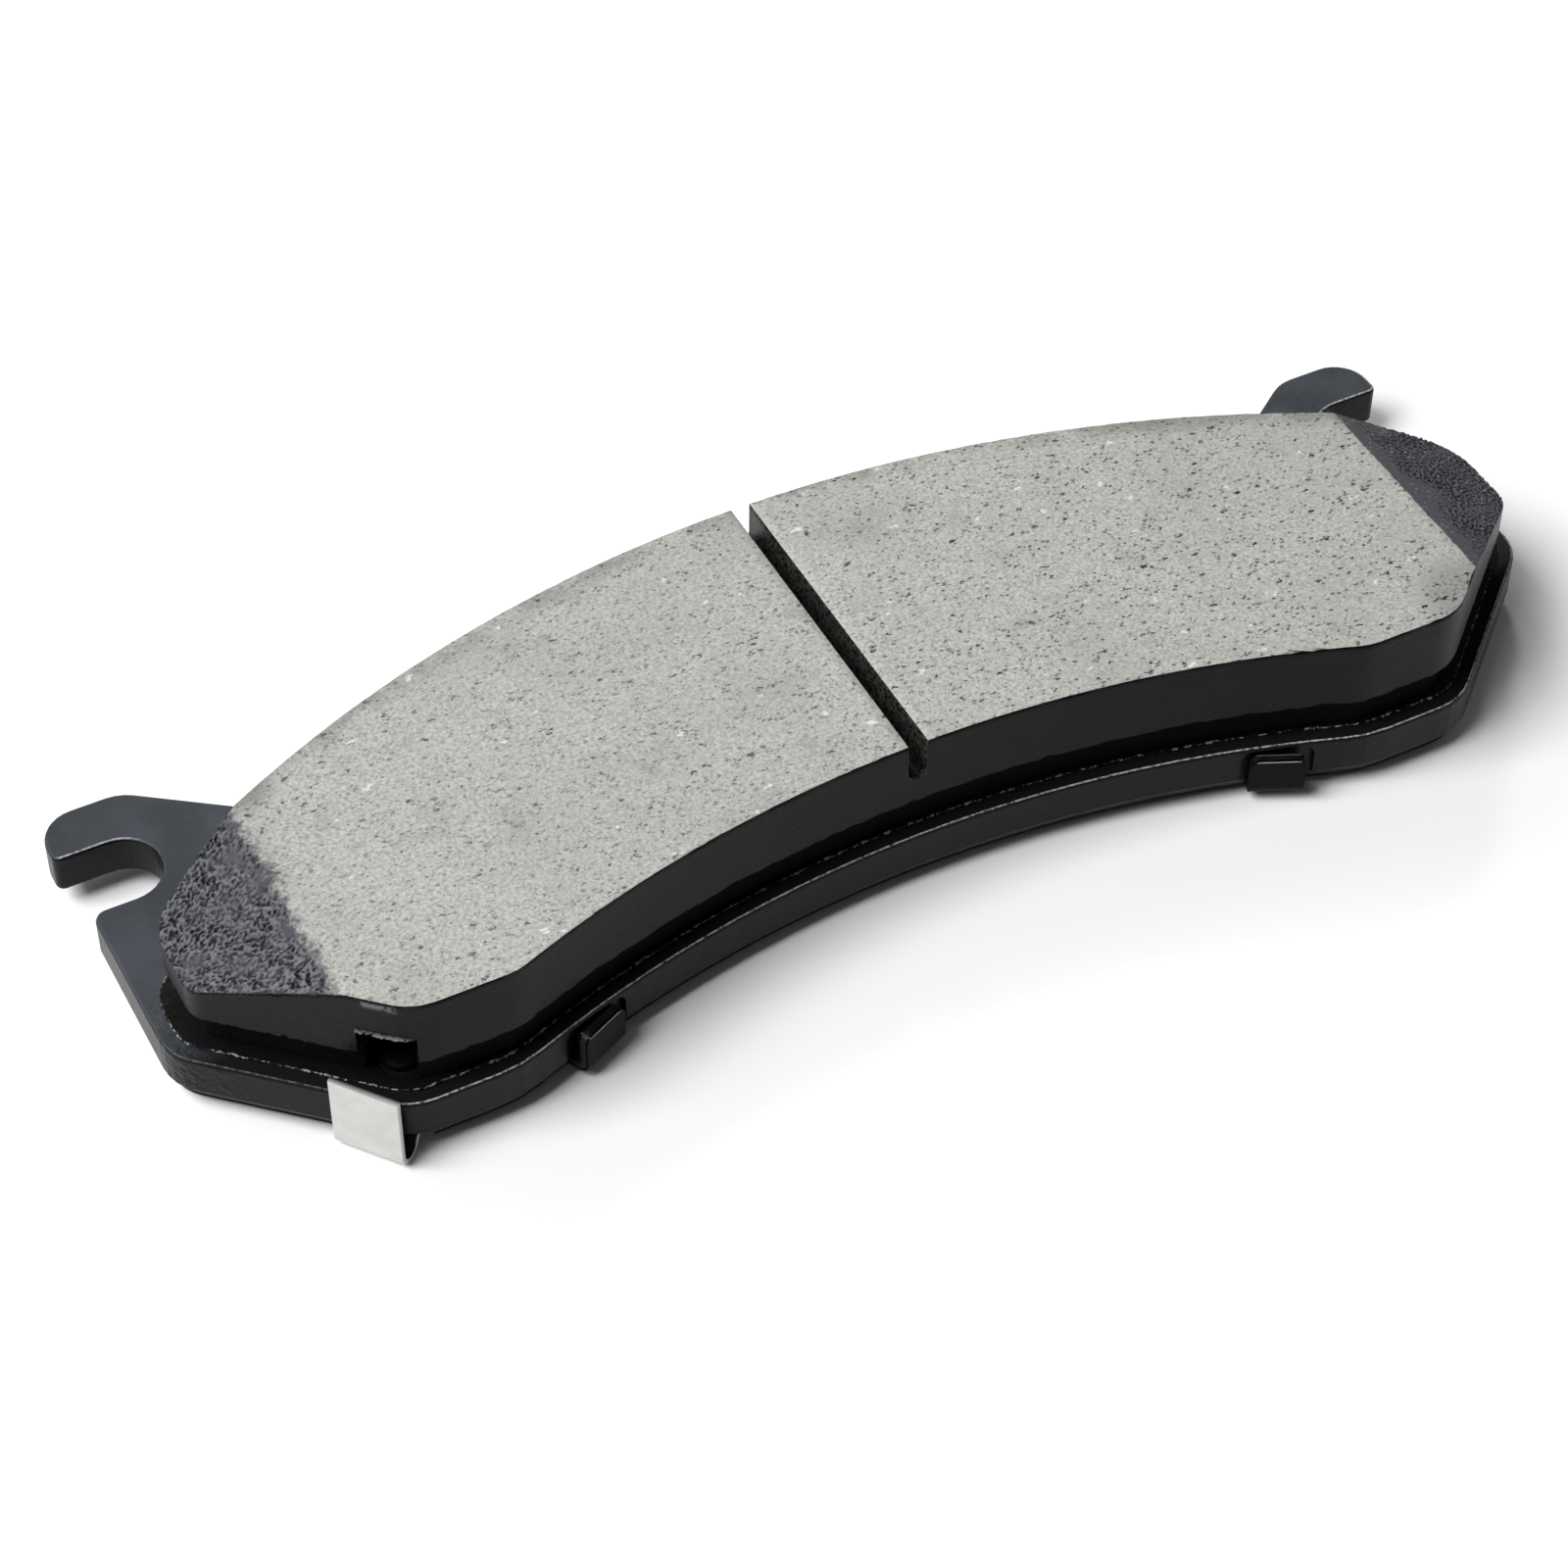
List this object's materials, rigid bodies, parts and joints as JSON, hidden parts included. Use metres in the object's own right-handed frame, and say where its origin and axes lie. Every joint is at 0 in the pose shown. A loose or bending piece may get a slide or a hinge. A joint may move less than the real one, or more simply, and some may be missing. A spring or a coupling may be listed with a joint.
{
  "type": "disc brake pad",
  "caption": "Disc brake pad with a hooked steel backing plate, a slotted friction block with end chamfers, a tabbed shim and a riveted wear indicator.",
  "frame": {"origin": "on the back of the shim, where the caliper's piston presses, on the middle line and 29 mm inward of the friction block's outer edge", "axes": "+X along the pad, +Y to the outer convex edge with the hooks, +Z from the caliper side to the rotor side"},
  "size_m": [0.1992, 0.0667, 0.0249],
  "materials": {
    "friction_compound": "ground friction compound, matt and speckled",
    "underlayer_compound": "moulded, matt black",
    "cured_bond_film": "cured adhesive film, glossy black",
    "powder_coated_steel": "satin dark grey powder coat on steel",
    "shim_adhesive": "pressure-sensitive adhesive film",
    "black_rubber": "satin black nitrile rubber coating",
    "shim_steel": "cold-rolled sheet steel",
    "plated_spring_steel": "bright plated spring steel",
    "rivet_steel": "plain zinc-plated steel"
  },
  "bodies": {
    "root": {"friction_block": "friction_compound", "underlayer": "underlayer_compound", "bond_film": "cured_bond_film", "backing_plate": "powder_coated_steel", "shim_adhesive": "shim_adhesive", "shim_inner_rubber": "black_rubber", "shim_steel_core": "shim_steel", "shim_outer_rubber": "black_rubber", "wear_indicator": "plated_spring_steel", "wear_indicator_rivet": "rivet_steel"}
  },
  "joints": []
}
